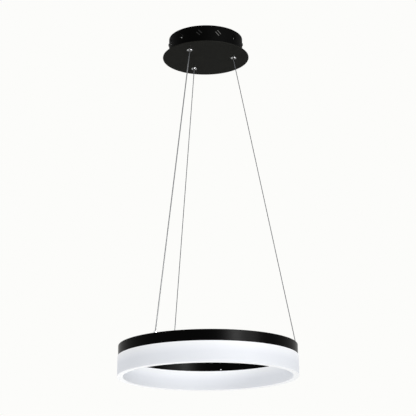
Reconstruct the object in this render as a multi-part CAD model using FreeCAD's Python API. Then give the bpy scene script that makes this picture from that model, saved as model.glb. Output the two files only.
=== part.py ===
import FreeCAD, Part
import math
import os
from FreeCAD import Vector

os.makedirs("parts", exist_ok=True)

# Ring pendant light. Millimetres, +Z up, origin on the ceiling at the middle of the canopy.
# Everything hangs below Z = 0. The viewer of the light stands on the -Y side.

overrun = 2.0                 # how far every cut runs past the face that it starts from
seat_gap = 0.15               # rest gap between curved or loosely seated faces
run_gap = 0.08                # radial gap of a sliding fit
screw_gap = 0.2               # radial gap of a screw or stem in its clearance hole

# Canopy: a drum against the ceiling, closed below by a wider disc
canopy_height = 46.5
plate_radius = 101.0
plate_thickness = 2.0
drum_radius = 86.5
drum_wall = 1.2
ear_reach = 12.0              # three ears bent inwards from the foot of the drum
ear_width = 14.0

# Ventilation: pairs of slanted slots in the drum wall
vent_groups = 12
vent_first_angle = -70.0
vent_slots_in_group = 2
vent_length = 12.0
vent_width = 2.5
vent_slant = 45.0
vent_slot_spacing = 6.5
vent_depth_below_ceiling = 17.0

# Mounting bracket inside the drum: a pressed bar along X, screwed to the ceiling
bracket_width = 40.0
bracket_thickness = 1.5
bracket_shoulder = 56.0       # half length of the wide middle part
cable_hole_radius = 12.5
ceiling_slot_spacing = 76.0
ceiling_slot_length = 22.0
ceiling_slot_width = 5.0
tab_width = 14.0
tab_drop = 19.0
tab_wall_gap = 0.5
side_screw_depth = 12.0       # below the ceiling
side_screw_radius = 2.0

# Wires and their stations
wire_radius = {"power": 1.25, "rear": 0.9, "side": 0.9}
wire_angle = {"power": -124.6, "rear": 115.4, "side": -4.6}
wire_inset = 20.9             # from the drum's outside in to the circle of grippers
suspension_drop = 687.5       # disc underside to ring top
wire_free_end = 1.5           # upright wire below the gripper before it leans
wire_tail = 3.0               # trimmed wire above the gripper
wire_bore_gap = 0.3

# Wire grippers
barrel_radius = 5.0
barrel_height = 16.0          # above the disc underside
flange_radius = 6.6
flange_height = 2.0
gripper_nut_across_flats = 14.0
gripper_nut_thickness = 3.0
plunger_radius = 2.2
plunger_travel = 2.0
plunger_nose = 3.2            # plunger below the flange
plunger_length = 14.0

# Ring: a black channel whose legs stand inside the opal diffuser
diffuser_radius = 200.0
diffuser_width = 12.4
diffuser_height = 44.6
diffuser_wall = 1.4
diffuser_floor = 1.6
channel_height = 24.1         # the part that shows above the diffuser
channel_wall = 1.0
channel_top = 1.5
channel_lap = 6.0             # legs inside the diffuser

# Light boards: straight boards glued round the inside of the channel's top, chips facing down
board_count = 24
board_joint = 8.4             # space between neighbouring boards, where the anchors' stems pass
board_width = 5.0
board_thickness = 1.6
chips_on_board = 2
chip_length = 3.5
chip_width = 2.8
chip_height = 0.8
connector_length = 6.0
connector_width = 4.6
connector_height = 3.5

# Wire anchors on the ring
anchor_radius = 4.2
anchor_height = 5.0
anchor_throat = 2.5           # depth of the flared mouth
anchor_mouth_radius = 2.6
anchor_stem_radius = 2.3
anchor_stem = 6.0             # below the channel's top face

# Light driver on the disc, held by a bent clip on each long side
driver_nut_gap = 4.7          # driver's end to the nearest gripper nut
driver_width = 38.0
driver_wall_gap = 4.3         # driver's outer corners to the drum's inside
driver_base_height = 20.0
driver_cover_height = 4.5
driver_corner = 3.0
driver_terminal_length = 22.0
driver_terminal_depth = 9.0
driver_terminal_height = 12.0
clip_width = 16.0
clip_thickness = 1.0
clip_foot = 7.0
clip_hook = 2.5

# Mains terminal block and earth tab
terminal_pole_spacing = 10.0
terminal_poles = 3
terminal_depth = 21.0
terminal_height = 15.0
terminal_base_height = 7.0
terminal_barrel_width = 7.6
terminal_crown_width = 5.0
terminal_inset = 40.3         # from the drum's inside in to the block's middle
earth_inset = 19.3            # from the drum's inside in to the blade
earth_angle = 155.0
earth_tab_width = 6.3
earth_tab_height = 9.0
earth_tab_thickness = 0.8
earth_tab_foot = 8.0

up = Vector(0, 0, 1)
outward = Vector(1, 0, 0)
full_turn = 360.0
half_turn = 180.0
quarter_turn = 90.0
third_turn = 120.0
hex_sides = 6
same = 0.001                  # a direction this close to upright counts as upright

# Places in the canopy that follow from the sizes above
plate_underside = -canopy_height
plate_top = plate_underside + plate_thickness
drum_inner = drum_radius - drum_wall
wire_circle = drum_radius - wire_inset
wire_names = list(wire_radius)
between_grippers = [wire_angle["side"] + third_turn * (step + 0.5) for step in range(3)]
flange_bottom = plate_underside - flange_height
nose_bottom = flange_bottom - plunger_nose
barrel_top = plate_underside + barrel_height
wire_exit = nose_bottom - wire_free_end

# The driver fills the space between two grippers and stands close to the drum's wall
driver_angle = wire_angle["side"] - third_turn / 2
gripper_offset = wire_circle * math.sin(math.radians(third_turn / 2))
nut_corner = gripper_nut_across_flats / 2 / math.cos(math.pi / hex_sides)
driver_length = 2 * (gripper_offset - nut_corner - driver_nut_gap)
driver_front = math.sqrt((drum_inner - driver_wall_gap) ** 2 - (driver_length / 2) ** 2)
terminal_angle = wire_angle["rear"] + third_turn / 2
terminal_circle = drum_inner - terminal_inset
earth_circle = drum_inner - earth_inset

# Places in the ring
ring_top = plate_underside - suspension_drop
split = ring_top - channel_height
ring_bottom = split - diffuser_height
diffuser_inner = diffuser_radius - diffuser_width
channel_outer = diffuser_radius - diffuser_wall - seat_gap
channel_inner = diffuser_inner + diffuser_wall + seat_gap
ring_middle = (channel_outer + channel_inner) / 2
wire_mouth = ring_top + anchor_height - anchor_throat
stem_bottom = ring_top - anchor_stem

# Boards: each stands inwards by half the bow of the ring over its length, so it lies mid-channel
board_step = full_turn / board_count
board_pitch = 2 * ring_middle * math.tan(math.radians(board_step / 2))
board_length = board_pitch - board_joint
board_bow = (board_length / 2) ** 2 / (2 * ring_middle)
board_circle = ring_middle - board_bow / 2
board_top = ring_top - channel_top
board_bottom = board_top - board_thickness


def turned(points):
    """Solid of a closed half-section of (radius, height) points, turned about the Z axis."""
    corners = [Vector(radius, 0, height) for radius, height in points]
    face = Part.Face(Part.makePolygon(corners + corners[:1]))
    return face.revolve(Vector(), up, full_turn)


def cylinder(radius, bottom, top):
    """Upright cylinder on the Z axis between two heights."""
    return Part.makeCylinder(radius, top - bottom, Vector(0, 0, bottom))


def block(size_x, size_y, bottom, top, corner=0.0):
    """Upright block centred on the Z axis, with rounded upright edges if a corner radius is given."""
    solid = Part.makeBox(size_x, size_y, top - bottom, Vector(-size_x / 2, -size_y / 2, bottom))
    if corner:
        upright = [edge for edge in solid.Edges if abs(edge.tangentAt(edge.FirstParameter).z) > 1 - same]
        solid = solid.makeFillet(corner, upright)
    return solid


def prism(outline, width):
    """Solid of a closed outline of (x, z) points, as wide along Y as asked and centred on Y = 0."""
    corners = [Vector(x, -width / 2, z) for x, z in outline]
    return Part.Face(Part.makePolygon(corners + corners[:1])).extrude(Vector(0, width, 0))


def hexagon(across_flats, bottom, top):
    """Upright hexagonal prism on the Z axis."""
    step = 2 * math.pi / hex_sides
    corner = across_flats / 2 / math.cos(step / 2)
    outline = [Vector(corner * math.cos(step * n), corner * math.sin(step * n), bottom)
               for n in range(hex_sides + 1)]
    return Part.Face(Part.makePolygon(outline)).extrude(Vector(0, 0, top - bottom))


def at_place(solid, radius, angle):
    """Copy of a solid modelled about the Z axis, moved out along X and turned round the Z axis."""
    moved = solid.copy()
    moved.translate(Vector(radius, 0, 0))
    moved.rotate(Vector(), up, angle)
    return moved


def keep(node, *solids):
    """Write one node, made of one or more separate solids."""
    shape = solids[0] if len(solids) == 1 else Part.makeCompound(list(solids))
    shape.exportStep("parts/" + node + ".step")


def mounting_bracket():
    """Pressed bar along X with a cable hole, two ceiling slots and a turned-down tapped tab at each end."""
    face = tab_face()
    wide = bracket_width / 2
    narrow = tab_width / 2
    neck = bracket_shoulder + wide - narrow
    quarter = [(face, narrow), (neck, narrow), (bracket_shoulder, wide)]
    half = quarter + [(-x, y) for x, y in reversed(quarter)]
    outline = [Vector(x, y, 0) for x, y in half + [(-x, -y) for x, y in half]]
    bar = Part.Face(Part.makePolygon(outline + outline[:1])).extrude(Vector(0, 0, -bracket_thickness))
    bar = bar.cut(cylinder(cable_hole_radius, -bracket_thickness - overrun, overrun))
    tab = prism([(face, 0), (face, -tab_drop), (face - bracket_thickness, -tab_drop),
                 (face - bracket_thickness, 0)], tab_width)
    for angle in (0.0, half_turn):
        bar = bar.fuse(at_place(tab, 0, angle))
        bar = bar.cut(at_place(ceiling_slot(), ceiling_slot_spacing / 2, angle))
        bar = bar.cut(at_place(side_hole(run_gap), 0, angle))
    return bar.removeSplitter()


def tab_face():
    """Distance of a tab's outer face from the canopy's axis, clear of the drum at the tab's corners."""
    return math.sqrt((drum_inner - tab_wall_gap) ** 2 - (tab_width / 2) ** 2)


def ceiling_slot():
    """Cutting solid of a round-ended slot along X through the bracket."""
    half = (ceiling_slot_length - ceiling_slot_width) / 2
    bottom = -bracket_thickness - overrun
    slot = block(2 * half, ceiling_slot_width, bottom, overrun)
    for side in (-half, half):
        end = cylinder(ceiling_slot_width / 2, bottom, overrun)
        end.translate(Vector(side, 0, 0))
        slot = slot.fuse(end)
    return slot.removeSplitter()


def side_hole(gap):
    """Cutting solid for a side screw, through the bracket's tab and the drum's wall."""
    start = Vector(tab_face() - bracket_thickness - overrun, 0, -side_screw_depth)
    reach = drum_radius + overrun - start.x
    return Part.makeCylinder(side_screw_radius + gap, reach, start, outward)


def canopy_drum():
    """Rolled steel drum with three inward ears, vent slots and two screw holes."""
    drum = cylinder(drum_radius, plate_top, 0).cut(cylinder(drum_inner, plate_top - overrun, overrun))
    ear_top = plate_top + drum_wall
    ear = block(2 * ear_reach, ear_width, plate_top, ear_top)
    inside = cylinder(drum_inner + drum_wall / 2, plate_top, ear_top)
    for angle in between_grippers:
        drum = drum.fuse(at_place(ear, drum_inner, angle).common(inside))
    for angle in (0.0, half_turn):
        drum = drum.cut(at_place(side_hole(screw_gap), 0, angle))
    for group in range(vent_groups):
        turn = vent_first_angle + full_turn / vent_groups * group
        for slot in vent_pair():
            drum = drum.cut(at_place(slot, 0, turn))
    return drum.removeSplitter()


def vent_pair():
    """Cutting solids of one pair of slanted slots, through the drum's wall on the +X side."""
    slots = []
    depth = drum_wall + 2 * overrun
    for number in range(vent_slots_in_group):
        shift = (number - (vent_slots_in_group - 1) / 2) * vent_slot_spacing
        corner = Vector(0, -vent_length / 2, shift - vent_width / 2)
        slot = Part.makeBox(depth, vent_length, vent_width, corner)
        slot.rotate(Vector(), outward, -vent_slant)
        slot.translate(Vector(drum_inner - overrun, 0, -vent_depth_below_ceiling))
        slots.append(slot)
    return slots


def canopy_plate():
    """Steel disc that closes the canopy, with a hole for each gripper."""
    disc = cylinder(plate_radius, plate_underside, plate_top)
    hole = cylinder(barrel_radius + screw_gap, plate_underside - overrun, plate_top + overrun)
    for name in wire_names:
        disc = disc.cut(at_place(hole, wire_circle, wire_angle[name]))
    return disc


def gripper_bodies():
    """Flanged barrels of the wire grippers, bored for the plungers."""
    bore = plunger_radius + run_gap
    body = turned([(bore, flange_bottom), (flange_radius, flange_bottom), (flange_radius, plate_underside),
                   (barrel_radius, plate_underside), (barrel_radius, barrel_top), (bore, barrel_top)])
    return [at_place(body, wire_circle, wire_angle[name]) for name in wire_names]


def gripper_nuts():
    """Thin hexagonal nuts that hold the barrels from above the disc."""
    top = plate_top + gripper_nut_thickness
    nut = hexagon(gripper_nut_across_flats, plate_top, top)
    nut = nut.cut(cylinder(barrel_radius + run_gap, plate_top - overrun, top + overrun))
    return [at_place(nut, wire_circle, wire_angle[name]) for name in wire_names]


def gripper_plunger(name):
    """Hollow plunger round the wire: pressed upwards at its nose, it frees the wire."""
    bore = wire_radius[name] + wire_bore_gap
    top = nose_bottom + plunger_length
    plunger = turned([(bore, nose_bottom), (plunger_radius, nose_bottom), (plunger_radius, top), (bore, top)])
    return at_place(plunger, wire_circle, wire_angle[name])


def suspension_wire(name):
    """Taut wire: upright through the gripper, then leaning outwards into its anchor on the ring."""
    start = Vector(wire_circle, 0, barrel_top + wire_tail)
    route = [start, Vector(wire_circle, 0, wire_exit), Vector(ring_middle, 0, wire_mouth + wire_bore_gap)]
    section = Part.Wire(Part.makeCircle(wire_radius[name], start, up))
    mitred_corners = 1
    wire = Part.Wire(Part.makePolygon(route)).makePipeShell([section], True, False, mitred_corners)
    return at_place(wire, 0, wire_angle[name])


def to_driver_place(solid):
    """Move a piece modelled on the Z axis, long side along Y, to the driver's place."""
    return at_place(solid, driver_front - driver_width / 2, driver_angle)


def driver_case():
    """Moulded case of the driver with a recess for a terminal at each end."""
    top = plate_top + driver_base_height
    case = block(driver_width, driver_length, plate_top, top, driver_corner)
    recess = block(driver_terminal_length + 2 * seat_gap, 2 * driver_terminal_depth + 2 * seat_gap,
                   top - driver_terminal_height - seat_gap, top + overrun)
    for side in (-1, 1):
        end = recess.copy()
        end.translate(Vector(0, side * driver_length / 2, 0))
        case = case.cut(end)
    return to_driver_place(case)


def driver_cover():
    """Lid of the driver."""
    bottom = plate_top + driver_base_height
    top = bottom + driver_cover_height
    return to_driver_place(block(driver_width, driver_length, bottom, top, driver_corner))


def driver_terminals():
    """Terminal blocks in the driver's two end recesses."""
    top = plate_top + driver_base_height - seat_gap
    bottom = top + seat_gap - driver_terminal_height
    terminals = []
    for side in (-1, 1):
        body = block(driver_terminal_length, driver_terminal_depth, bottom, top)
        body.translate(Vector(0, side * (driver_length - driver_terminal_depth) / 2, 0))
        terminals.append(to_driver_place(body))
    return terminals


def driver_clips():
    """Bent steel clips, one on each long side of the driver, hooked over its lid."""
    foot_top = plate_top + clip_thickness
    hook_bottom = plate_top + driver_base_height + driver_cover_height + seat_gap
    hook_top = hook_bottom + clip_thickness
    near = driver_width / 2 + seat_gap
    back = near + clip_thickness
    hook_end = near - clip_hook
    outline = [(near, plate_top), (near + clip_foot, plate_top), (near + clip_foot, foot_top),
               (back, foot_top), (back, hook_top), (hook_end, hook_top), (hook_end, hook_bottom),
               (near, hook_bottom)]
    clip = prism(outline, clip_width)
    clip.translate(Vector(0, driver_length / 2 - clip_width, 0))
    return [to_driver_place(at_place(clip, 0, angle)) for angle in (0.0, half_turn)]


def mains_terminal():
    """Terminal block for the supply: a base with one stepped barrel and one wire window per pole."""
    base_top = plate_top + terminal_base_height
    top = plate_top + terminal_height
    terminal = block(terminal_depth, terminal_pole_spacing * terminal_poles, plate_top, base_top)
    half_barrel = terminal_barrel_width / 2
    half_crown = terminal_crown_width / 2
    waist = (base_top + top) / 2
    outline = [(-half_barrel, base_top), (half_barrel, base_top), (half_barrel, waist), (half_crown, top),
               (-half_crown, top), (-half_barrel, waist)]
    barrel = at_place(prism(outline, terminal_depth), 0, quarter_turn)
    window = block(terminal_depth + 2 * overrun, half_barrel, base_top - half_barrel / 2, waist)
    for pole in range(terminal_poles):
        shift = Vector(0, (pole - (terminal_poles - 1) / 2) * terminal_pole_spacing, 0)
        pole_barrel = barrel.copy()
        pole_barrel.translate(shift)
        pole_window = window.copy()
        pole_window.translate(shift)
        terminal = terminal.fuse(pole_barrel).cut(pole_window)
    return at_place(terminal.removeSplitter(), terminal_circle, terminal_angle)


def earth_tab():
    """Bent blade for the earth lead's push-on connector, spot-welded to the disc."""
    foot_top = plate_top + earth_tab_thickness
    outline = [(0, plate_top), (earth_tab_foot, plate_top), (earth_tab_foot, foot_top),
               (earth_tab_thickness, foot_top), (earth_tab_thickness, plate_top + earth_tab_height),
               (0, plate_top + earth_tab_height)]
    return at_place(prism(outline, earth_tab_width), earth_circle, earth_angle)


def ring_channel():
    """Rolled aluminium channel, open downwards, with a hole in its top for each anchor."""
    under = ring_top - channel_top
    foot = split - channel_lap
    outer_face = channel_outer - channel_wall
    inner_face = channel_inner + channel_wall
    channel = turned([(channel_outer, ring_top), (channel_outer, foot), (outer_face, foot),
                      (outer_face, under), (inner_face, under), (inner_face, foot),
                      (channel_inner, foot), (channel_inner, ring_top)])
    hole = cylinder(anchor_stem_radius + screw_gap, under - overrun, ring_top + overrun)
    for name in wire_names:
        channel = channel.cut(at_place(hole, ring_middle, wire_angle[name]))
    return channel


def diffuser():
    """Opal trough round the channel's legs: it stands out from the channel by its own wall."""
    outer_face = diffuser_radius - diffuser_wall
    inner_face = diffuser_inner + diffuser_wall
    floor = ring_bottom + diffuser_floor
    return turned([(diffuser_radius, ring_bottom), (diffuser_radius, split), (outer_face, split),
                   (outer_face, floor), (inner_face, floor), (inner_face, split), (diffuser_inner, split),
                   (diffuser_inner, ring_bottom)])


def board_places():
    """Angles of the boards round the ring: the anchors' stems pass between their ends."""
    return [wire_angle["side"] + board_step * (number + 0.5) for number in range(board_count)]


def led_boards():
    """Straight rigid boards on the underside of the channel's top."""
    board = block(board_width, board_length, board_bottom, board_top)
    return [at_place(board, board_circle, angle) for angle in board_places()]


def led_chips():
    """Light-emitting chips, evenly spaced on every board."""
    chips = []
    spacing = board_pitch / chips_on_board
    for number in range(chips_on_board):
        chip = block(chip_width, chip_length, board_bottom - chip_height, board_bottom)
        chip.translate(Vector(0, (number - (chips_on_board - 1) / 2) * spacing, 0))
        chips += [at_place(chip, board_circle, angle) for angle in board_places()]
    return chips


def feed_connector():
    """Plug under the middle of the board that starts beside the power wire's anchor."""
    body = block(connector_width, connector_length, board_bottom - connector_height, board_bottom)
    return at_place(body, board_circle, wire_angle["power"] + board_step / 2)


def wire_anchors():
    """Turned anchors on the ring, each with a flared mouth and a stem through the channel's top."""
    top = ring_top + anchor_height
    shoulder = top - (anchor_radius - anchor_mouth_radius)
    anchors = []
    for name in wire_names:
        socket = wire_radius[name] + wire_bore_gap
        anchor = turned([(0, stem_bottom), (anchor_stem_radius, stem_bottom),
                         (anchor_stem_radius, ring_top), (anchor_radius, ring_top),
                         (anchor_radius, shoulder), (anchor_mouth_radius, top),
                         (socket, wire_mouth), (0, wire_mouth)])
        anchors.append(at_place(anchor, ring_middle, wire_angle[name]))
    return anchors


keep("mounting_bracket", mounting_bracket())
keep("canopy_drum", canopy_drum())
keep("canopy_plate", canopy_plate())
keep("driver_case", driver_case())
keep("driver_cover", driver_cover())
keep("driver_terminals", *driver_terminals())
keep("driver_clips", *driver_clips())
keep("mains_terminal", mains_terminal())
keep("earth_tab", earth_tab())
keep("gripper_bodies", *gripper_bodies())
keep("gripper_nuts", *gripper_nuts())
for name in wire_names:
    keep("gripper_plunger_" + name, gripper_plunger(name))
    keep("suspension_wire_" + name, suspension_wire(name))
keep("wire_anchors", *wire_anchors())
keep("ring_channel", ring_channel())
keep("led_boards", *led_boards())
keep("led_chips", *led_chips())
keep("feed_connector", feed_connector())
keep("diffuser", diffuser())
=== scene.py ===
import math

import bmesh
import bpy
import numpy as np
from mathutils import Matrix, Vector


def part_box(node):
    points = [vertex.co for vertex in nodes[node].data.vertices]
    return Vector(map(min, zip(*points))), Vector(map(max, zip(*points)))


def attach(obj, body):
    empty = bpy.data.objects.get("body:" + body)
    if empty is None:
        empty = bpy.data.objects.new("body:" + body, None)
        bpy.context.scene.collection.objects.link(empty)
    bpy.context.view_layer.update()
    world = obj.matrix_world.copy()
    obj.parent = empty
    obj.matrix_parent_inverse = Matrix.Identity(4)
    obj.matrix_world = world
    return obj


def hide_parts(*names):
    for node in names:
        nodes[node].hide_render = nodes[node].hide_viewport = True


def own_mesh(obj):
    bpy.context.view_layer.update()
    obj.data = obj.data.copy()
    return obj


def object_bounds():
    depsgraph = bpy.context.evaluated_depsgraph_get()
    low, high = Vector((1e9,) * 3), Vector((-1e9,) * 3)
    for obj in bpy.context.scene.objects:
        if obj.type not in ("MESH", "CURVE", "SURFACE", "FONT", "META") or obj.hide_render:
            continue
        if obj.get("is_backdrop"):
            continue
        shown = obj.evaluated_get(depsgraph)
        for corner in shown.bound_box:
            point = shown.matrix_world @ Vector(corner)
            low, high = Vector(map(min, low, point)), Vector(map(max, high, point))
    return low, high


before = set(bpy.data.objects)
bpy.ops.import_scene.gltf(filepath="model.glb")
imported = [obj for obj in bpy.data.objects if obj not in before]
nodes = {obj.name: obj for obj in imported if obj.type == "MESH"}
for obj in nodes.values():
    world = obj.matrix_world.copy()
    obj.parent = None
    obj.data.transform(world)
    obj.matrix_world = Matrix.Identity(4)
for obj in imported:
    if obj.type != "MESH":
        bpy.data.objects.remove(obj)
cad_low, cad_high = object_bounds()
MM = 0.001


# Mounting bracket: a bar of pressed steel, zinc plated, which is screwed to the ceiling by its two
# slots round the cable hole. Its ends are bent down and tapped, and the drum is screwed to them.

def linear(code):
    """Linear colour of an sRGB hex code: ((c + 0.055) / 1.055) ** 2.4 for each channel above
    0.04045, and c / 12.92 for the others."""
    channels = np.array([int(code[i:i + 2], 16) for i in (1, 3, 5)]) / 255
    bright = ((channels + 0.055) / 1.055) ** 2.4
    return (*np.where(channels > 0.04045, bright, channels / 12.92).tolist(), 1.0)


def add_node(tree, kind, settings=None, links=None):
    """Adds one shader node, sets its properties and sockets by name, and links its inputs, by name
    or number, from other nodes' outputs."""
    made = tree.nodes.new(kind)
    for name, value in (settings or {}).items():
        if name in made.inputs:
            made.inputs[name].default_value = value
        else:
            setattr(made, name, value)
    for socket, source in (links or {}).items():
        tree.links.new(source, made.inputs[socket])
    return made


def new_finish(name, surface):
    """A material of one Principled surface with the settings given. Returns it and that node."""
    material = bpy.data.materials.new(name)
    material.use_nodes = True
    tree = material.node_tree
    tree.nodes.clear()
    shader = add_node(tree, "ShaderNodeBsdfPrincipled", surface)
    add_node(tree, "ShaderNodeOutputMaterial", links={"Surface": shader.outputs["BSDF"]})
    return material, shader


def add_bumps(finish, height, depth_mm):
    """Raises a finish's surface by a depth where a height pattern is high."""
    material, shader = finish
    bump = add_node(material.node_tree, "ShaderNodeBump",
                    {"Strength": 1.0, "Distance": depth_mm * MM}, {"Height": height})
    material.node_tree.links.new(bump.outputs["Normal"], shader.inputs["Normal"])


# Noise stays mostly between these two levels, so what a pattern changes is spread over them.
pattern_low, pattern_high = 0.3, 0.7


def add_tints(finish, pattern, tints):
    """Lets a finish's colour go from one tint to another as a pattern goes from low to high."""
    material, shader = finish
    shades = add_node(material.node_tree, "ShaderNodeValToRGB", links={"Fac": pattern})
    levels = (pattern_low, pattern_high)
    for stop, level, tint in zip(shades.color_ramp.elements, levels, tints):
        stop.position, stop.color = level, linear(tint)
    material.node_tree.links.new(shades.outputs["Color"], shader.inputs["Base Color"])


def add_grain(finish, size_mm, depth_mm=0.0, roughness=None, tints=None, stretch=(1, 1, 1)):
    """Gives a finish a grain: noise of one size on Object coordinates, drawn out by a stretch below
    1 along an axis. It makes bumps of a depth, and with them roughness wanders between two values
    and colour between two tints."""
    material, shader = finish
    tree = material.node_tree
    place = add_node(tree, "ShaderNodeTexCoord")
    drawn_out = add_node(tree, "ShaderNodeMapping", {"Scale": stretch},
                         {"Vector": place.outputs["Object"]})
    noise = add_node(tree, "ShaderNodeTexNoise", {"Scale": 1 / (size_mm * MM), "Detail": 3.0},
                     {"Vector": drawn_out.outputs["Vector"]})
    if depth_mm:
        add_bumps(finish, noise.outputs["Fac"], depth_mm)
    if roughness:
        wander = add_node(tree, "ShaderNodeMapRange", {
            "From Min": pattern_low, "From Max": pattern_high,
            "To Min": roughness[0], "To Max": roughness[1]}, {"Value": noise.outputs["Fac"]})
        tree.links.new(wander.outputs["Result"], shader.inputs["Roughness"])
    if tints:
        add_tints(finish, noise.outputs["Fac"], tints)


def new_piece(name, mesh):
    """An object of a mesh, with smooth faces, in the scene."""
    mesh.shade_smooth()
    piece = bpy.data.objects.new(name, mesh)
    bpy.context.scene.collection.objects.link(piece)
    return piece


def softened(name, node, edge_mm):
    """Copy of a CAD node with its flat faces made whole again, by merging its points and dissolving
    edges flatter than 1 degree, and with its edges rounded by a small radius."""
    merge, flat_deg, edge_deg = 0.001 * MM, 1, 30
    shape = bmesh.new()
    shape.from_mesh(nodes[node].data)
    bmesh.ops.remove_doubles(shape, verts=shape.verts, dist=merge)
    bmesh.ops.dissolve_limit(shape, angle_limit=math.radians(flat_deg), verts=shape.verts,
                             edges=shape.edges)
    mesh = bpy.data.meshes.new(name)
    shape.to_mesh(mesh)
    shape.free()
    piece = new_piece(name, mesh)
    edges = piece.modifiers.new("rounded_edges", "BEVEL")
    edges.width, edges.segments = edge_mm * MM, 3
    edges.limit_method, edges.angle_limit = "ANGLE", math.radians(edge_deg)
    return piece


def finish_piece(piece, finish, body, replaced=(), crease_deg=35, flat_sides=False):
    """Gives a piece its material and its body, keeps edges steeper than the crease sharp, and hides
    the
    CAD nodes it stands for. On a piece with flat sides the wide faces lead the shading across a
    rounded edge."""
    piece.data.materials.clear()
    piece.data.materials.append(finish[0])
    piece.data.set_sharp_from_angle(angle=math.radians(crease_deg))
    if flat_sides:
        piece.modifiers.new("flat_sides", "WEIGHTED_NORMAL").keep_sharp = True
    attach(piece, body)
    if replaced:
        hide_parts(*replaced)
    return piece


def canopy_part(name, node, finish, edge_mm):
    """Finishes a softened copy of a node of the canopy, which it stands for."""
    finish_piece(softened(name, node, edge_mm), finish, "canopy", [node], flat_sides=True)


# Zinc plating on pressed steel: bright grey, clouded from the bath, rubbed lengthwise, half matt.
zinc = new_finish("zinc_plated_steel", {"Metallic": 1.0})
add_grain(zinc, size_mm=16, tints=("#ADB0B3", "#C4C5C2"))
add_grain(zinc, size_mm=1.2, depth_mm=0.006, roughness=(0.28, 0.44), stretch=(0.2, 1, 1))
canopy_part("bracket_bar", "mounting_bracket", zinc, edge_mm=0.3)


# Canopy drum: rolled sheet steel with pairs of slanted slots punched all round, which let the
# driver's warmth out. Three ears bent in at its foot are riveted to the disc. Black powder coat.

def surface_mesh(name, points, wrap_rows, wrap_columns, chart=None):
    """Mesh object of a grid of points (rows, columns, 3): one quad between each point, its neighbour
    along the row and the next row. Points that meet, as at a pole, become one, and their quads
    triangles. A chart of the same grid, with one more row or column where it wraps, gives the UV
    map."""
    index = np.arange(points.shape[0] * points.shape[1]).reshape(points.shape[:2])
    if wrap_rows:
        index = np.vstack([index, index[:1]])
    if wrap_columns:
        index = np.hstack([index, index[:, :1]])

    def cells(grid):
        """The four corners of every cell of a grid, in turn."""
        corners = np.stack([grid[:-1, :-1], grid[:-1, 1:], grid[1:, 1:], grid[1:, :-1]], axis=2)
        return corners.reshape(-1, 4, *grid.shape[2:])

    merge = 1e-7
    _, first, same = np.unique(np.round(points.reshape(-1, 3) / merge), axis=0, return_index=True,
                               return_inverse=True)
    quads = same.reshape(-1)[cells(index)]
    from_pole = quads[:, 0] == quads[:, 1]
    to_pole = quads[:, 2] == quads[:, 3]
    kinds = [(~from_pole & ~to_pole, [0, 1, 2, 3]), (from_pole & ~to_pole, [0, 2, 3]),
             (to_pole & ~from_pole, [0, 1, 2])]
    faces = [face for chosen, corners in kinds for face in quads[chosen][:, corners].tolist()]
    mesh = bpy.data.meshes.new(name)
    mesh.from_pydata(points.reshape(-1, 3)[first].tolist(), [], faces)
    if chart is not None:
        spots = cells(chart)
        flat = np.concatenate([spots[chosen][:, corners].reshape(-1) for chosen, corners in kinds])
        mesh.uv_layers.new(name="UVMap").data.foreach_set("uv", flat.astype(np.float32))
    return new_piece(name, mesh)


def rounded(corners, radii, steps=4):
    """Closed outline whose corners are blended: B(t) = (1-t)^2 A + 2t(1-t) P + t^2 C, where A and C
    lie one radius from the corner P along its two sides. One more point stands just outside each
    end, to keep the flats flat."""
    outside = 1.25
    corner = np.asarray(corners, float)
    radius = np.broadcast_to(np.asarray(radii, float), len(corner))[:, None]
    before = np.roll(corner, 1, axis=0) - corner
    after = np.roll(corner, -1, axis=0) - corner
    before *= radius / np.linalg.norm(before, axis=1, keepdims=True)
    after *= radius / np.linalg.norm(after, axis=1, keepdims=True)
    t = np.linspace(0, 1, steps + 1)[None, :, None]
    start, end, middle = (corner + before)[:, None], (corner + after)[:, None], corner[:, None]
    blend = (1 - t) ** 2 * start + 2 * t * (1 - t) * middle + t ** 2 * end
    ahead, behind = middle + before[:, None] * outside, middle + after[:, None] * outside
    return np.concatenate([ahead, blend, behind], axis=1).reshape(-1, 2)


def rounded_box(near, far, low, high, radii, steps=4):
    """Rounded outline of a rectangle that reaches from near to far and from low to high."""
    return rounded([(near, low), (far, low), (far, high), (near, high)], radii, steps)


def turned(name, outline, sectors=256, closed=True, thread=None):
    """Surface of revolution about Z: a point (r, z) of the outline goes to (r cos a, r sin a, z),
    for a from 0 to 2 pi. A thread (low, high, pitch, depth) takes depth (1 - cos(2 pi z / pitch -
    a)) / 2 off the largest radius between two heights."""
    angle = np.arange(sectors) * 2 * math.pi / sectors
    radius, height = np.asarray(outline, float).T[:, :, None]
    if thread:
        low, high, pitch, depth = thread
        between = (height > low) & (height < high)
        cut_in = depth * (1 - np.cos(2 * math.pi * height / pitch - angle)) / 2
        radius = radius - np.where(between & (radius >= radius[between].max()), cut_in, 0)
    rows = [radius * np.cos(angle), radius * np.sin(angle), height + 0 * angle]
    return surface_mesh(name, np.stack(rows, axis=-1), closed, True)


def at_place(piece, out, angle_deg, across=0.0, height=0.0, tilt_deg=0.0):
    """Tips a mesh from +Z towards +X, moves it out along X, across along Y and up, and turns it
    round Z."""
    tip = Matrix.Rotation(math.radians(tilt_deg), 4, "Y")
    tipped = Matrix.Translation((out, across, height)) @ tip
    piece.data.transform(Matrix.Rotation(math.radians(angle_deg), 4, "Z") @ tipped)
    return piece


def joined(name, pieces):
    """One object of several meshes."""
    whole = bmesh.new()
    for piece in pieces:
        whole.from_mesh(piece.data)
        bpy.data.objects.remove(piece)
    mesh = bpy.data.meshes.new(name)
    whole.to_mesh(mesh)
    whole.free()
    return new_piece(name, mesh)


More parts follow.
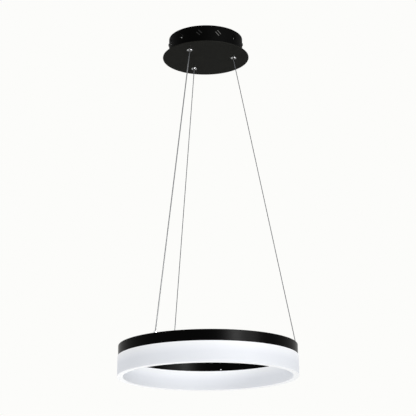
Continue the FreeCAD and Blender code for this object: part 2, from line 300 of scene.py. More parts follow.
def shaped(piece, others, operation="DIFFERENCE"):
    """Cuts other closed meshes out of a piece, or with UNION adds them to it, and keeps the result
    as its mesh."""
    other = joined("others", others)
    step = piece.modifiers.new(operation.lower(), "BOOLEAN")
    step.operation, step.solver, step.object = operation, "EXACT", other
    bpy.context.view_layer.update()
    evaluated = piece.evaluated_get(bpy.context.evaluated_depsgraph_get())
    result = bpy.data.meshes.new_from_object(evaluated)
    piece.modifiers.clear()
    piece.data = result
    bpy.data.objects.remove(other)
    return piece


def block(size, place=Matrix()):
    """Closed block about the origin, as large as asked along X, Y and Z, laid in place by a matrix."""
    shape = bmesh.new()
    bmesh.ops.create_cube(shape, size=1.0, matrix=place @ Matrix.Diagonal((*size, 1)))
    mesh = bpy.data.meshes.new("block")
    shape.to_mesh(mesh)
    shape.free()
    return new_piece("block", mesh)


def rod(radius, low, high, sectors=32):
    """Closed upright cylinder on the Z axis between two heights."""
    outline = [(0, low), (radius, low), (radius, high), (0, high)]
    return turned("rod", outline, sectors, closed=False)


def slab(outline, low, high, soft):
    """Closed plate of an outline of (x, y) points between two heights. Its edges are chamfered:
    towards both faces the outline is drawn in to c + (p - c) (1 - soft / |p - c|), where c is its
    middle."""
    centre = outline.mean(axis=0)
    reach = np.linalg.norm(outline - centre, axis=1, keepdims=True)
    inner = centre + (outline - centre) * (1 - soft / reach)
    middle = np.broadcast_to(centre, outline.shape)
    rows = [(middle, low), (inner, low), (outline, low + soft), (outline, high - soft),
            (inner, high), (middle, high)]
    points = [np.column_stack([row, np.full(len(row), height)]) for row, height in rows]
    return surface_mesh("slab", np.stack(points), False, True)


drum_low, drum_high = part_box("canopy_drum")
drum_radius, drum_wall, drum_edge = drum_high.x, 1.2 * MM, 0.3 * MM
drum_inside = drum_radius - drum_wall
drum_bottom, drum_top = drum_low.z, drum_high.z
vent_groups, first_vent_deg, vent_spacing = 12, -70, 6.5 * MM
vent_depth, vent_slant_deg, vent_size = 17 * MM, 45, (6 * MM, 12 * MM, 2.5 * MM)
ear_reach, ear_width, ears_deg = 12 * MM, 14 * MM, (55.4, 175.4, 295.4)
ear_corner, ear_root_corner, ear_edge = 4 * MM, 0.1 * MM, 0.15 * MM
side_screws_deg, side_screw_depth, side_screw_radius = (0, 180), 12 * MM, 2 * MM
screw_gap = 0.2 * MM

drum_section = rounded_box(drum_inside, drum_radius, drum_bottom, drum_top, drum_edge)
drum = turned("canopy_drum_shell", drum_section, sectors=360)
ear_outline = rounded_box(-ear_reach, drum_wall / 2, -ear_width / 2, ear_width / 2,
                          [ear_corner, ear_root_corner, ear_root_corner, ear_corner])
shaped(drum, [at_place(slab(ear_outline, drum_bottom, drum_bottom + drum_wall, ear_edge),
                       drum_inside, angle) for angle in ears_deg], "UNION")
vent_place = Matrix.Translation((drum_radius - drum_wall / 2, 0, drum_top - vent_depth))
vent_slant = Matrix.Rotation(math.radians(-vent_slant_deg), 4, "X")
vents = []
for group in range(vent_groups):
    turn = Matrix.Rotation(math.radians(first_vent_deg + 360 / vent_groups * group), 4, "Z")
    for shift in (-vent_spacing / 2, vent_spacing / 2):
        beside = Matrix.Translation((0, 0, shift))
        vents.append(block(vent_size, turn @ vent_place @ vent_slant @ beside))
screw_holes = [at_place(rod(side_screw_radius + screw_gap, -2 * drum_wall, 2 * drum_wall),
                        drum_inside, angle, height=drum_top - side_screw_depth, tilt_deg=90)
               for angle in side_screws_deg]
shaped(drum, vents + screw_holes)

# Fine matt black powder coat: a dry, even black. Its grain of 0.4 mm is drawn as 1 mm to show.
drum_coat = new_finish("powder_coat_matt_black", {
    "Base Color": linear("#020202"), "IOR": 1.15, "Specular IOR Level": 0.15})
add_grain(drum_coat, size_mm=1.0, depth_mm=0.02, roughness=(0.52, 0.6))
finish_piece(drum, drum_coat, "canopy", ["canopy_drum"])


# Screws and rivets of the canopy: two black pan-head screws through the drum into the bracket's
# tabs, so that the canopy comes off the ceiling, and a steel rivet through each ear of the drum.

def crown(radius, low, high, steps):
    """Outline of a domed head, a quarter ellipse: (r cos t, low + (high - low) sin t)."""
    t = np.linspace(0, math.pi / 2, steps)
    return np.stack([radius * np.cos(t), low + (high - low) * np.sin(t)], axis=1)


def screw(head_radius, head_height, shank_radius, shank_length, blades):
    """Screw upright on the origin, with its head above Z = 0: the head's rim rises a third of its
    height, and a crown closes it. One slot or two crossing ones are cut into the crown, each as
    long and wide as its share of the head's radius."""
    slot_length, cross_length, slot_width = 2.4, 1.1, 0.25
    piece = turned("screw", np.vstack([
        [0, -shank_length], [shank_radius, -shank_length], [shank_radius, 0], [head_radius, 0],
        crown(head_radius, head_height / 3, head_height, 8)]), sectors=28, closed=False)
    length = slot_length if blades == 1 else cross_length
    blade = (head_radius * length, head_radius * slot_width, head_height)
    for number in range(blades):
        turn = Matrix.Rotation(math.pi / 2 * number, 4, "Z")
        shaped(piece, [block(blade, turn @ Matrix.Translation((0, 0, head_height)))])
    return piece


# A screw's size: its head's radius and height, and its shank's radius and length.
side_screw_size = (3.6 * MM, 1.8 * MM, 1.9 * MM, 5 * MM)

# Black zinc on steel: smoother and a little lighter than the coat round it, so the heads glint.
black_zinc = new_finish("black_zinc_plated_steel", {"Metallic": 0.8})
add_grain(black_zinc, size_mm=1.5, depth_mm=0.004, roughness=(0.26, 0.38),
          tints=("#2E2E2D", "#3E3E3C"))
side_screws = joined("side_screws", [
    at_place(screw(*side_screw_size, blades=2), drum_radius, angle,
             height=drum_top - side_screw_depth, tilt_deg=90) for angle in side_screws_deg])
finish_piece(side_screws, black_zinc, "canopy")

rivet_radius, rivet_dome, rivet_foot, rivet_inset = 2.2 * MM, 0.9 * MM, 0.4 * MM, 6 * MM
rivet_outline = np.vstack([
    [0, -rivet_foot], [rivet_radius, -rivet_foot], crown(rivet_radius, 0, rivet_dome, 7)])
rivets = joined("ear_rivets", [
    at_place(turned("rivet", rivet_outline, sectors=28, closed=False),
             drum_inside - rivet_inset, angle, height=drum_bottom + drum_wall)
    for angle in ears_deg])
finish_piece(rivets, zinc, "canopy")


# Canopy disc: laser-cut steel that closes the canopy and stands out round the drum, with a hole for
# each gripper, and a softened edge. Same powder coat; its wide flat face is painted a touch greyer,
# as painted light from below.

# Each suspension wire's radius, and its place round the canopy and the ring in degrees.
wires = {"power": (1.25 * MM, -124.6), "rear": (0.9 * MM, 115.4), "side": (0.9 * MM, -4.6)}
gripper_circle, barrel_radius = 65.6 * MM, 5 * MM
plate_low, plate_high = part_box("canopy_plate")
plate_radius = (plate_high.x - plate_low.x) / 2
rim_width, rim_edge = 5 * MM, 0.5 * MM

# Of the rim's rounded box the two outer corners are kept. From them the faces run to the axis.
rim = rounded_box(plate_radius - rim_width, plate_radius, plate_low.z, plate_high.z, rim_edge)
rim = rim[len(rim) // 4:3 * len(rim) // 4]
disc_outline = np.vstack([[0, plate_low.z], rim, [0, plate_high.z]])
disc = turned("canopy_disc", disc_outline, sectors=360, closed=False)
shaped(disc, [at_place(rod(barrel_radius + screw_gap, plate_low.z - MM, plate_high.z + MM),
                       gripper_circle, angle) for _, angle in wires.values()])

# The same coat on the wide flat face: a soft charcoal with the faintest clouding, dry, with no clear
# reflection. Its tints are lighter than the drum's black as painted light from below on this face.
disc_coat_painted_lit = new_finish("powder_coat_matt_black_painted_lit", {
    "Roughness": 0.6, "IOR": 1.2, "Specular IOR Level": 0.2})
add_grain(disc_coat_painted_lit, size_mm=25, tints=("#1C1C19", "#20201D"))
add_grain(disc_coat_painted_lit, size_mm=1.0, depth_mm=0.02)
finish_piece(disc, disc_coat_painted_lit, "canopy", ["canopy_plate"])


# Light driver: a moulded white case with a ribbed lid, a terminal block sunk into each end, and a
# steel clip hooked over each long side. It stands on the disc between two grippers.

driver_out, driver_deg, driver_length = 49 * MM, -64.6, 88 * MM
lid_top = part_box("driver_cover")[1].z
grooves, first_groove, groove_step = 5, 15 * MM, 3 * MM
groove_size = (24 * MM, 1.2 * MM, 1.4 * MM)
lid_well_reach, lid_well_radius, lid_well_depth = 38 * MM, 2.6 * MM, 1.2 * MM
lid_screw_size = (2.2 * MM, 0.9 * MM, MM, MM)
lid = softened("driver_lid", "driver_cover", edge_mm=0.8)
lid_grooves = [at_place(block(groove_size), driver_out, driver_deg, height=lid_top,
                        across=side * (first_groove + number * groove_step))
               for side in (-1, 1) for number in range(grooves)]
lid_wells = [at_place(rod(lid_well_radius, -lid_well_depth, MM), driver_out, driver_deg,
                      across=side * lid_well_reach, height=lid_top) for side in (-1, 1)]
shaped(lid, lid_grooves + lid_wells)

# White ABS, spark-eroded in the mould: a warm white, satin. Its grain of 0.3 mm is drawn as 0.8 mm
# to show.
white_abs = new_finish("moulded_white_abs", {"IOR": 1.53})
add_grain(white_abs, size_mm=40, tints=("#E4E4E0", "#EDEDEB"))
add_grain(white_abs, size_mm=0.8, depth_mm=0.01, roughness=(0.38, 0.5))
finish_piece(lid, white_abs, "canopy", ["driver_cover"], flat_sides=True)
canopy_part("driver_shell", "driver_case", white_abs, edge_mm=0.6)
lid_screws = joined("driver_lid_screws", [
    at_place(screw(*lid_screw_size, blades=2), driver_out, driver_deg,
             across=side * lid_well_reach, height=lid_top - lid_well_depth) for side in (-1, 1)])
finish_piece(lid_screws, zinc, "canopy")
canopy_part("driver_spring_clips", "driver_clips", zinc, edge_mm=0.2)

# Terminals: three wire entries in the end face of each block, and over each a screw in a well.
terminal_low, terminal_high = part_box("driver_terminals")
pole_step, well_radius, well_depth = 6.6 * MM, 2.2 * MM, 1.6 * MM
entry_size, entry_rise = (3.4 * MM, 6 * MM, 3.4 * MM), 4 * MM
terminal_screw_size = (1.8 * MM, 0.9 * MM, MM, MM)
end_face, terminal_inset = driver_length / 2, 4.5 * MM
terminal_middle = end_face - terminal_inset
poles = [(side, number * pole_step) for side in (-1, 1) for number in (-1, 0, 1)]
terminals = softened("driver_terminal_blocks", "driver_terminals", edge_mm=0.35)
wells = [at_place(rod(well_radius, -well_depth, MM, sectors=24), driver_out + shift, driver_deg,
                  across=side * terminal_middle, height=terminal_high.z) for side, shift in poles]
entries = [at_place(block(entry_size), driver_out + shift, driver_deg,
                    across=side * end_face, height=terminal_low.z + entry_rise)
           for side, shift in poles]
shaped(terminals, wells + entries)

# Grey polyamide: cool mid grey with faint flow clouds from the mould, half matt.
grey_polyamide = new_finish("moulded_grey_polyamide", {"IOR": 1.53})
add_grain(grey_polyamide, size_mm=9, tints=("#84878A", "#93969A"))
add_grain(grey_polyamide, size_mm=0.7, depth_mm=0.008, roughness=(0.42, 0.55))
finish_piece(terminals, grey_polyamide, "canopy", ["driver_terminals"],
             flat_sides=True)
terminal_screws = joined("driver_terminal_screws", [
    at_place(screw(*terminal_screw_size, blades=1), driver_out + shift, driver_deg,
             across=side * terminal_middle, height=terminal_high.z - well_depth)
    for side, shift in poles])
finish_piece(terminal_screws, zinc, "canopy")


# Supply terminal: natural polyamide with three poles. Each pole has a brass barrel for the leads in
# its window and two slotted screws in its crown. The earth blade is spot-welded to the disc.

supply_low, supply_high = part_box("mains_terminal")
supply_out, supply_deg = 45 * MM, 175.4
supply_step, screw_reach = 10 * MM, 5.5 * MM
crown_well_radius, crown_well_depth, window_rise = 1.9 * MM, 1.8 * MM, 8 * MM
clamp_bore, clamp_radius, clamp_length, clamp_edge = 1.4 * MM, 1.85 * MM, 18 * MM, 0.1 * MM
supply_screw_size = (1.6 * MM, 0.8 * MM, MM, MM)
supply = softened("supply_terminal_body", "mains_terminal", edge_mm=0.3)
spots = [(reach, number * supply_step) for number in (-1, 0, 1)
         for reach in (-screw_reach, screw_reach)]
shaped(supply, [at_place(rod(crown_well_radius, -crown_well_depth, MM, sectors=24),
                         supply_out + reach, supply_deg, across=shift, height=supply_high.z)
                for reach, shift in spots])

# Natural polyamide: milky, a little yellow, and light passes a little way into it.
natural_polyamide = new_finish("moulded_natural_polyamide", {
    "Subsurface Weight": 0.3, "Subsurface Radius": (1.0 * MM, 0.9 * MM, 0.6 * MM),
    "Subsurface Scale": 1.0})
add_grain(natural_polyamide, size_mm=12, tints=("#DDD9C6", "#EAE7DA"))
add_grain(natural_polyamide, size_mm=0.9, depth_mm=0.006, roughness=(0.28, 0.4))
finish_piece(supply, natural_polyamide, "canopy", ["mains_terminal"],
             flat_sides=True)

# Tinned brass: a warm silver with dull patches in the tin.
tinned = new_finish("tin_plated_brass", {"Metallic": 1.0})
add_grain(tinned, size_mm=5, depth_mm=0.004, roughness=(0.24, 0.42), tints=("#C4BDA8", "#D8D3C6"))
clamp_section = rounded_box(clamp_bore, clamp_radius, -clamp_length / 2, clamp_length / 2,
                            clamp_edge, steps=2)
supply_barrels = joined("supply_terminal_barrels", [
    at_place(turned("barrel", clamp_section, sectors=32), supply_out, supply_deg,
             across=number * supply_step, height=supply_low.z + window_rise, tilt_deg=90)
    for number in (-1, 0, 1)])
finish_piece(supply_barrels, tinned, "canopy")
supply_screws = joined("supply_terminal_screws", [
    at_place(screw(*supply_screw_size, blades=1), supply_out + reach, supply_deg,
             across=shift, height=supply_high.z - crown_well_depth) for reach, shift in spots])
finish_piece(supply_screws, zinc, "canopy")
canopy_part("earth_blade", "earth_tab", tinned, edge_mm=0.15)


# Wire grippers: turned brass, chrome plated. A flange under the disc, a threaded barrel through it
# with a thin hexagonal nut, and a hollow plunger whose nose stands below and frees the wire.

gripper_low, gripper_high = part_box("gripper_bodies")
flange_radius, plunger_bore = 6.6 * MM, 2.28 * MM
thread_pitch, thread_depth, thread_runout, rows_per_turn = MM, 0.35 * MM, 0.6 * MM, 8
thread_start, thread_end = plate_high.z, gripper_high.z - thread_runout
thread_rows = int((thread_end - thread_start) / thread_pitch * rows_per_turn)
gripper_corners = [
    (plunger_bore, gripper_low.z), (flange_radius, gripper_low.z), (flange_radius, plate_low.z),
    (barrel_radius, plate_low.z), (barrel_radius, gripper_high.z), (plunger_bore, gripper_high.z)]
gripper_radii = np.array([0.25, 0.6, 0.15, 0.1, 0.4, 0.3]) * MM
gripper_outline = rounded(gripper_corners, gripper_radii)

# The thread needs rows of its own along the barrel, which come after the four corners below it.
below_barrel = 4 * (len(gripper_outline) // len(gripper_corners))
barrel_side = np.column_stack([
    np.full(thread_rows, barrel_radius), np.linspace(thread_start, thread_end, thread_rows)])
gripper_outline = np.insert(gripper_outline, below_barrel, barrel_side, axis=0)
gripper_thread = (thread_start, thread_end, thread_pitch, thread_depth)
grippers = joined("gripper_barrels", [
    at_place(turned("gripper", gripper_outline, sectors=48, thread=gripper_thread),
             gripper_circle, angle) for _, angle in wires.values()])

# Chrome on polished brass: a clear cool mirror that is dulled here and there by handling.
chrome = new_finish("chrome_plated_brass", {"Base Color": linear("#D9DADB"), "Metallic": 1.0})
add_grain(chrome, size_mm=3, roughness=(0.1, 0.15))
finish_piece(grippers, chrome, "canopy", ["gripper_bodies"], crease_deg=50)
canopy_part("gripper_lock_nuts", "gripper_nuts", zinc, edge_mm=0.4)

# Nickel on the plungers: darker and yellower than the chrome, with fine rings left by the lathe.
nickel = new_finish("nickel_plated_brass", {"Metallic": 1.0})
add_grain(nickel, size_mm=0.4, depth_mm=0.004, roughness=(0.24, 0.36), tints=("#474644", "#565552"),
          stretch=(0.05, 0.05, 1))
wire_gap, plunger_radii = 0.3 * MM, np.array([0.2, 0.4, 0.2, 0.2]) * MM
for name, (wire_radius, angle) in wires.items():
    low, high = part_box("gripper_plunger_" + name)
    outline = rounded_box(wire_radius + wire_gap, (high.x - low.x) / 2, low.z, high.z,
                          plunger_radii)
    plunger = at_place(turned("plunger_" + name, outline, sectors=40), gripper_circle, angle)
    finish_piece(plunger, nickel, "plunger_" + name, ["gripper_plunger_" + name])


# Suspension wires: steel of six strands laid round a core, 1.8 mm, and the power wire, 2.5 mm, with
# its lead and strands in a clear sheath. Each leaves its gripper upright, leans out taut to the ring
# and turns upright in its anchor.

ring_low, ring_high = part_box("ring_channel")
anchor_low, anchor_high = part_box("wire_anchors")
ring_circle, anchor_throat = 193.8 * MM, 2.5 * MM
wire_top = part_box("suspension_wire_side")[1].z
nose_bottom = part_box("gripper_plunger_side")[0].z
held_depth, straight_below, upright_end = 2.2 * MM, 1.5 * MM, 0.8 * MM
held_at, wire_exit = nose_bottom + held_depth, nose_bottom - straight_below
wire_end = anchor_high.z - anchor_throat + wire_gap
bend_radius, arc_points, ring_travel = 7 * MM, 9, 0.4
strands, sides_per_strand, strand_lay, sheath_sides = 6, 6, 12 * MM, 24
wire_step = strand_lay / 12


def bent_path(corners, radius, step):
    """Path along straight runs whose corners are arcs, centre + radius (n cos a + t sin a), tangent
    to both runs, with its points at even steps along it. Returns the points and how far along each
    is."""
    path = [corners[0][None]]
    for before, corner, after in zip(corners, corners[1:], corners[2:]):
        heading = (corner - before) / np.linalg.norm(corner - before)
        leaving = (after - corner) / np.linalg.norm(after - corner)
        turn = math.acos(np.clip(heading @ leaving, -1, 1))
        inward = leaving - heading * (leaving @ heading)
        inward /= np.linalg.norm(inward)
        start = corner - heading * radius * math.tan(turn / 2)
        angle = np.linspace(0, turn, arc_points)[:, None]
        path.append(start + inward * radius * (1 - np.cos(angle)) + heading * radius * np.sin(angle))
    path.append(corners[-1][None])
    path = np.vstack(path)
    along = np.concatenate([[0], np.cumsum(np.linalg.norm(np.diff(path, axis=0), axis=1))])
    even = np.linspace(0, along[-1], max(2, round(along[-1] / step)) + 1)
    return np.stack([np.interp(even, along, path[:, axis]) for axis in range(3)], axis=1), even


def wire_tube(name, path, along, radius, across, laid):
    """Round tube along a path in one plane: p + r (across cos a + side sin a), where side is the
    tangent turned by a right angle in that plane. On laid wire, a also turns once per lay, and r is
    the outline of six strands of a third of the wire's radius R round a core: (2/3) R cos b +
    sqrt((R/3)^2 - ((2/3) R sin b)^2), with b the turn from the strand's crown. The UV map holds the
    turn as a share of a circle and the length in millimetres."""
    sides = strands * sides_per_strand if laid else sheath_sides
    tangent = np.gradient(path, axis=0)
    tangent /= np.linalg.norm(tangent, axis=1, keepdims=True)
    side = np.cross(tangent, across)
    share = np.arange(sides + 1) / sides
    twist = along[:, None] / strand_lay if laid else 0 * along[:, None]
    angle = 2 * math.pi * (share[None, :-1] + twist)
    off_crown = np.arange(sides) % sides_per_strand - sides_per_strand / 2
    off_crown = off_crown / sides_per_strand * 2 * math.pi / strands
    bulge = np.sqrt(np.clip(1 / 9 - (2 / 3 * np.sin(off_crown)) ** 2, 0, None))
    lobe = 2 / 3 * np.cos(off_crown) + bulge
    spoke = radius * (lobe if laid else np.ones(sides))[None, :, None]
    ray = np.cos(angle)[..., None] * across + np.sin(angle)[..., None] * side[:, None]
    points = path[:, None] + spoke * ray
    ends = np.repeat(path[[0, -1]][:, None], sides, axis=1)
    length = np.concatenate([along[:1], along, along[-1:]]) / MM
    chart = np.stack(np.meshgrid(share, length), axis=-1)
    rows = np.concatenate([ends[:1], points, ends[1:]])
    return surface_mesh(name, rows, False, True, chart)


def add_lay(finish, lines, pitch_mm, depth_mm, tints):
    """Slanting lines on a wire, from the UV map: (1 + sin(2 pi (lines u + v / pitch))) / 2 sets the
    colour between two tints and raises the surface."""
    tree = finish[0].node_tree
    chart = add_node(tree, "ShaderNodeUVMap", {"uv_map": "UVMap"})
    phase = add_node(tree, "ShaderNodeVectorMath", {"operation": "DOT_PRODUCT"},
                     {0: chart.outputs["UV"]})
    phase.inputs[1].default_value = (2 * math.pi * lines, 2 * math.pi / pitch_mm, 0)
    wave = add_node(tree, "ShaderNodeMath", {"operation": "SINE"}, {0: phase.outputs["Value"]})
    height = add_node(tree, "ShaderNodeMapRange", {"From Min": -1.0, "From Max": 1.0},
                      {"Value": wave.outputs["Value"]})
    add_tints(finish, height.outputs["Result"], tints)
    if depth_mm:
        add_bumps(finish, height.outputs["Result"], depth_mm)


# Stainless strands: grey and half bright. Each strand is itself of thin wires of 0.2 mm, which are
# drawn 0.3 mm apart to show.
steel_strands = new_finish("stranded_stainless_steel", {"Metallic": 0.4, "Roughness": 0.4})
add_lay(steel_strands, lines=18, pitch_mm=1.3, depth_mm=0.02, tints=("#47494C", "#606266"))

# Clear sheath: the strands show through as soft slanting bands under a smooth, glossy skin.
sheath = new_finish("clear_sheath_on_strands", {
    "Metallic": 0.2, "Roughness": 0.35, "Coat Weight": 0.7, "Coat Roughness": 0.12})
add_lay(sheath, lines=8, pitch_mm=14, depth_mm=0.0, tints=("#5A5C5F", "#76787A"))
up = np.array([0, 0, 1.0])
for name, (wire_radius, angle) in wires.items():
    turn = math.radians(angle)
    out = np.array([math.cos(turn), math.sin(turn), 0])
    across = np.array([-math.sin(turn), math.cos(turn), 0])
    laid = name != "power"
    finish, slot = (steel_strands, "steel_wire") if laid else (sheath, "sheathed_wire")
    top, held = out * gripper_circle + up * wire_top, out * gripper_circle + up * held_at
    leave, end = out * gripper_circle + up * wire_exit, out * ring_circle + up * wire_end
    tail_path, tail_along = bent_path(np.array([top, held]), bend_radius, wire_step)
    tail = wire_tube("wire_tail_" + name, tail_path, tail_along, wire_radius, across, laid)
    finish_piece(tail, finish, "canopy", crease_deg=60)
    run_corners = np.array([held, leave, end + up * upright_end, end])
    run_path, run_along = bent_path(run_corners, bend_radius, wire_step)
    run_along = run_along + tail_along[-1]
    run = wire_tube("wire_run_" + name, run_path, run_along, wire_radius, across, laid)
    finish_piece(run, finish, "canopy", ["suspension_wire_" + name], crease_deg=60)
    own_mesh(run)


# Wire anchors: small turned domes of chrome plated brass, screwed to the top of the channel. The
# wire's end is crimped inside and comes out of the flared mouth.

anchor_radius, anchor_mouth, anchor_stem, dome_height = 4.2 * MM, 2.6 * MM, 2.3 * MM, 1.6 * MM
anchor_floor, dome_foot = anchor_high.z - anchor_throat, anchor_high.z - dome_height
near_axis = 0.01 * MM
anchor_radii = np.array([0.001, 0.3, 0.1, 0.3, 0.9, 0.3, 0.2, 0.001]) * MM
anchors = []
for wire_radius, angle in wires.values():
    outline = rounded([
        (near_axis, anchor_low.z), (anchor_stem, anchor_low.z), (anchor_stem, ring_high.z),
        (anchor_radius, ring_high.z), (anchor_radius, dome_foot), (anchor_mouth, anchor_high.z),
        (wire_radius + wire_gap, anchor_floor), (near_axis, anchor_floor)], anchor_radii)
    anchors.append(at_place(turned("anchor", outline, sectors=40), ring_circle, angle))
finish_piece(joined("wire_anchor_domes", anchors), chrome, "ring", ["wire_anchors"])


# Ring channel: aluminium rolled into a U section and bent to a hoop, open downwards, with a hole in
# its top for each anchor. Satin black powder coat. Its legs stand inside the diffuser.

trough_low, trough_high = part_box("diffuser")
trough_outer, trough_inner = (trough_high.x - trough_low.x) / 2, 187.6 * MM
trough_wall, seat_gap = 1.4 * MM, 0.15 * MM
channel_outer = trough_outer - trough_wall - seat_gap
channel_inner = trough_inner + trough_wall + seat_gap
channel_wall, channel_top = 1.0 * MM, 1.5 * MM
channel_under_top = ring_high.z - channel_top
channel_radii = np.array([0.4, 0.4, 0.15, 0.15, 0.15, 0.15, 0.15, 0.15]) * MM
channel_section = rounded([
    (channel_outer, ring_high.z), (channel_inner, ring_high.z), (channel_inner, ring_low.z),
    (channel_inner + channel_wall, ring_low.z), (channel_inner + channel_wall, channel_under_top),
    (channel_outer - channel_wall, channel_under_top), (channel_outer - channel_wall, ring_low.z),
    (channel_outer, ring_low.z)], channel_radii, steps=3)
channel = turned("channel_hoop", channel_section, sectors=512)
shaped(channel, [at_place(rod(anchor_stem + screw_gap, ring_high.z - 2 * channel_top,
                              ring_high.z + MM), ring_circle, angle)
                 for _, angle in wires.values()])

# The same powder with a satin set: deep black with a broad soft sheen along the hoop.
band_coat = new_finish("powder_coat_satin_black", {
    "Base Color": linear("#010101"), "IOR": 1.15, "Specular IOR Level": 0.22})
add_grain(band_coat, size_mm=1.0, depth_mm=0.004, roughness=(0.27, 0.31))
finish_piece(channel, band_coat, "ring", ["ring_channel"])

# Retaining screws: small bright pan heads low on the channel's inner wall, which hold the boards'
# carrier inside.
retaining_screws, first_retaining_deg, retaining_rise = 6, 81, 3.1 * MM
retaining_screw_size = (1.5 * MM, 0.9 * MM, 0.7 * MM, 1.8 * MM)
retainers = joined("retaining_screws", [
    at_place(screw(*retaining_screw_size, blades=2), channel_inner,
             first_retaining_deg + 360 / retaining_screws * number,
             height=trough_high.z + retaining_rise, tilt_deg=-90)
    for number in range(retaining_screws)])
finish_piece(retainers, chrome, "ring")


# Light boards inside the channel: aluminium boards under white solder mask, each with its chips of
# yellow phosphor under clear silicone, and the white plug of the feed.

def wear(node, finish):
    """The CAD node itself shows, in this finish."""
    mesh = nodes[node].data
    mesh.materials.clear()
    mesh.materials.append(finish[0])


# Solder mask: an even bright white with a slight orange peel and a soft gloss.
solder_mask = new_finish("white_solder_mask", {"IOR": 1.5})
add_grain(solder_mask, size_mm=2.0, depth_mm=0.01, roughness=(0.38, 0.5),
          tints=("#EBEBE8", "#F1F1EF"))

# Phosphor under silicone: grainy yellow with a clear, rounded gloss over it.
phosphor = new_finish("phosphor_under_silicone", {"Coat Weight": 0.6, "Coat Roughness": 0.1})
add_grain(phosphor, size_mm=0.3, depth_mm=0.005, roughness=(0.4, 0.55),
          tints=("#DDB63C", "#F0D05A"))
wear("led_boards", solder_mask)
wear("led_chips", phosphor)
wear("feed_connector", white_abs)


# Diffuser: a U trough of satin opal acrylic bent to a hoop, pushed over the channel's legs. It
# stands out from the channel by its own wall and its lower corners are softly rounded.

floor_thickness = 1.6 * MM
trough_floor = trough_low.z + floor_thickness
trough_radii = np.array([1.2, 1.2, 0.3, 0.2, 0.4, 0.4, 0.2, 0.3]) * MM
diffuser_section = rounded([
    (trough_inner, trough_low.z), (trough_outer, trough_low.z), (trough_outer, trough_high.z),
    (trough_outer - trough_wall, trough_high.z), (trough_outer - trough_wall, trough_floor),
    (trough_inner + trough_wall, trough_floor), (trough_inner + trough_wall, trough_high.z),
    (trough_inner, trough_high.z)], trough_radii)
diffuser = turned("diffuser_hoop", diffuser_section, sectors=512)

# Opal acrylic, satin both sides: an even milky white with no gloss. Light from the boards fills it,
# more at the top beside them and along the lower rim, where it is piped through the floor to the
# edge. The shades go from the lower rim to the top, by the share of the height.
opal = new_finish("opal_acrylic_satin", {
    "Base Color": linear("#D8DADD"), "Roughness": 0.6, "IOR": 1.49, "Specular IOR Level": 0.2,
    "Emission Strength": 0.5})
rim_glow, top_glow = "#DCDCDA", "#D6D6D6"
glow_between = {0.03: "#B0B2B7", 0.2: "#A5A9B0", 0.5: "#A7ABB3", 0.85: "#C8CACD"}
opal_tree = opal[0].node_tree
opal_place = add_node(opal_tree, "ShaderNodeTexCoord")
opal_axes = add_node(opal_tree, "ShaderNodeSeparateXYZ",
                     links={"Vector": opal_place.outputs["Object"]})
opal_height = add_node(opal_tree, "ShaderNodeMapRange", {
    "From Min": trough_low.z, "From Max": trough_high.z}, {"Value": opal_axes.outputs["Z"]})
glow = add_node(opal_tree, "ShaderNodeValToRGB", links={"Fac": opal_height.outputs["Result"]})


def set_shades(ramp, first, last, between):
    """Colours a ramp: its two ends, and more shades between them by their share of its length."""
    ramp.elements[0].color, ramp.elements[1].color = linear(first), linear(last)
    for share, shade in between.items():
        ramp.elements.new(share).color = linear(shade)


set_shades(glow.color_ramp, rim_glow, top_glow, glow_between)
opal_tree.links.new(glow.outputs["Color"], opal[1].inputs["Emission Color"])
finish_piece(diffuser, opal, "ring", ["diffuser"])


# Camera: a long lens from below and in front, as in the photograph.

image_width, focal_pixels, sensor = 416, 1334.3, 36.0
camera_place = (0.00248, -2.92001, -1.27754)
pitch, roll = math.radians(16.466), math.radians(-0.453)
camera_data = bpy.data.cameras.new("camera")
camera_data.sensor_width = sensor
camera_data.lens = focal_pixels * sensor / image_width
camera = bpy.data.objects.new("camera", camera_data)
bpy.context.scene.collection.objects.link(camera)
camera_turn = Matrix.Rotation(math.pi / 2 + pitch, 4, "X") @ Matrix.Rotation(roll, 4, "Z")
camera.matrix_world = Matrix.Translation(camera_place) @ camera_turn
bpy.context.scene.camera = camera


# Floor of a high room, pale and plain, low enough for views from below the light. It catches the
# light's shadow. A little light of its own, for the camera alone, lets it fade to white far off.

def level_disc(name, radii, height, sides=96):
    """Flat round sheet of the points (r cos a, r sin a, height) for two radii, one of which is 0:
    from the rim to the middle it faces up, and from the middle to the rim down."""
    turn = np.arange(sides) * 2 * math.pi / sides
    radius = np.array(radii)[:, None]
    rows = [radius * np.cos(turn), radius * np.sin(turn), np.full((2, sides), height)]
    return surface_mesh(name, np.stack(rows, axis=-1), False, True)


floor_height, floor_reach = -4.2, 80
fade_near, fade_far, near_strength, far_strength = 4.0, 20.0, 0.14, 0.6
floor = level_disc("floor", [floor_reach, 0], floor_height)
floor_paint = new_finish("pale_floor", {
    "Base Color": linear("#F2F2F0"), "Roughness": 0.9, "Emission Color": (1, 1, 1, 1)})
floor_tree = floor_paint[0].node_tree
floor_place = add_node(floor_tree, "ShaderNodeTexCoord")
floor_distance = add_node(floor_tree, "ShaderNodeVectorMath", {"operation": "LENGTH"},
                          {0: floor_place.outputs["Object"]})
floor_fade = add_node(floor_tree, "ShaderNodeMapRange", {
    "interpolation_type": "SMOOTHSTEP", "From Min": fade_near, "From Max": fade_far,
    "To Min": near_strength, "To Max": far_strength}, {"Value": floor_distance.outputs["Value"]})
floor_rays = add_node(floor_tree, "ShaderNodeLightPath")
floor_lift = add_node(floor_tree, "ShaderNodeMapRange", {}, {
    "Value": floor_rays.outputs["Is Camera Ray"], "To Max": floor_fade.outputs["Result"]})
floor_tree.links.new(floor_lift.outputs["Result"], floor_paint[1].inputs["Emission Strength"])
floor.data.materials.append(floor_paint[0])
floor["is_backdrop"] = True
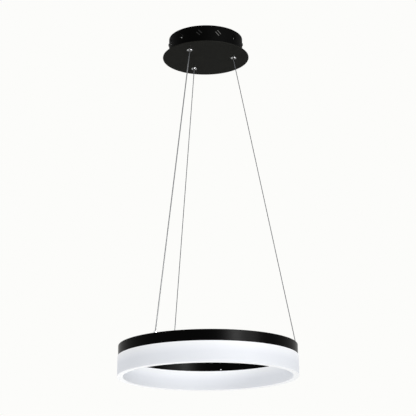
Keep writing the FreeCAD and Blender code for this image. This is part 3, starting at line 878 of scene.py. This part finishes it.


# The ceiling over the drum, seen only through its vents from below. It glows painted shade, darkest
# at both sides, and painted light on its right where the key light would fall in; no lamp lights it.
# It is clear from above and to all but the camera.

patch_rise, patch_inset = 0.2 * MM, 1.5 * MM
painted_tone_left, painted_tone_right, painted_shade_darkest = -50 * MM, 60 * MM, "#0C0C0C"
patch = level_disc("ceiling_patch", [0, drum_radius - patch_inset], cad_high.z + patch_rise)
shade = bpy.data.materials.new("ceiling_painted_shade_and_light")
shade.use_nodes = True
tree = shade.node_tree
tree.nodes.clear()
patch_place = add_node(tree, "ShaderNodeTexCoord")
patch_axes = add_node(tree, "ShaderNodeSeparateXYZ",
                      links={"Vector": patch_place.outputs["Object"]})
patch_share = add_node(tree, "ShaderNodeMapRange", {
    "From Min": painted_tone_left, "From Max": painted_tone_right}, {"Value": patch_axes.outputs["X"]})
patch_painted_tone = add_node(tree, "ShaderNodeValToRGB", links={"Fac": patch_share.outputs["Result"]})
# Painted shade and painted light: dark at both sides, lighter towards +X.
set_shades(patch_painted_tone.color_ramp, painted_shade_darkest, painted_shade_darkest, {0.36: "#2A2A2A", 0.72: "#6A6A68"})
patch_rays = add_node(tree, "ShaderNodeLightPath")
patch_side = add_node(tree, "ShaderNodeNewGeometry")
from_below = add_node(tree, "ShaderNodeMath", {"operation": "SUBTRACT", "use_clamp": True}, {
    0: patch_rays.outputs["Is Camera Ray"], 1: patch_side.outputs["Backfacing"]})
patch_clear = add_node(tree, "ShaderNodeBsdfTransparent")
# The painted tones glow as emission, so no lamp shades them.
patch_painted_shade = add_node(tree, "ShaderNodeEmission", links={"Color": patch_painted_tone.outputs["Color"]})
patch_mix = add_node(tree, "ShaderNodeMixShader", links={
    "Fac": from_below.outputs[0], 1: patch_clear.outputs[0], 2: patch_painted_shade.outputs[0]})
add_node(tree, "ShaderNodeOutputMaterial", links={"Surface": patch_mix.outputs[0]})
patch.data.materials.append(shade)
patch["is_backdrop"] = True


# Light: a key from the right, beside it a wide soft box that only gloss shows, which gives the
# black hoop its broad sheen, two wide fills, a small one under the ring, and a pale even room.

def soft_light(name, place, aim, size, power, gloss_only=False):
    """A square soft light at a place, facing a point. The camera doesn't see the lamp itself, and
    with gloss_only it lights no matt surface either."""
    data = bpy.data.lights.new(name, "AREA")
    data.size, data.energy = size, power
    lamp = bpy.data.objects.new(name, data)
    lamp.visible_camera = False
    lamp.visible_diffuse = not gloss_only
    bpy.context.scene.collection.objects.link(lamp)
    stand = Matrix.Translation(place)
    away = stand.translation - Matrix.Translation(aim).translation
    lamp.matrix_world = stand @ away.to_track_quat("Z", "Y").to_matrix().to_4x4()


middle, under_ring = (0, 0, -0.5), (0.05, 0.05, -0.8)
soft_light("key", (1.45, -2.16, -0.25), middle, size=0.45, power=26)
soft_light("sheen", (1.75, -1.95, -0.25), middle, size=2.0, power=126, gloss_only=True)
soft_light("fill_from_left", (-2.2, -1.9, -1.9), middle, size=1.6, power=12)
soft_light("fill_from_below", (0.3, -0.6, -2.5), middle, size=1.6, power=8)
soft_light("fill_under_ring", (-0.4, -0.1, -1.4), under_ring, size=0.3, power=1.2)

# The room gives the object an even pale light. The camera, gloss and glass see a white backdrop
# instead.
world = bpy.data.worlds.new("studio")
bpy.context.scene.world = world
world.use_nodes = True
tree = world.node_tree
tree.nodes.clear()
rays = add_node(tree, "ShaderNodeLightPath")
seen = rays.outputs["Is Camera Ray"]
for kind in ("Is Glossy Ray", "Is Transmission Ray"):
    either = add_node(tree, "ShaderNodeMath", {"operation": "MAXIMUM"},
                      {0: seen, 1: rays.outputs[kind]})
    seen = either.outputs[0]
ambient = add_node(tree, "ShaderNodeBackground", {"Color": linear("#F6F6F8"), "Strength": 0.5})
backdrop = add_node(tree, "ShaderNodeBackground", {"Color": linear("#FCFCFA"), "Strength": 1.0})
room = add_node(tree, "ShaderNodeMixShader", links={
    "Fac": seen, 1: ambient.outputs[0], 2: backdrop.outputs[0]})
add_node(tree, "ShaderNodeOutputWorld", links={"Surface": room.outputs[0]})

bpy.context.scene.view_settings.view_transform = "Standard"

low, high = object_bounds()
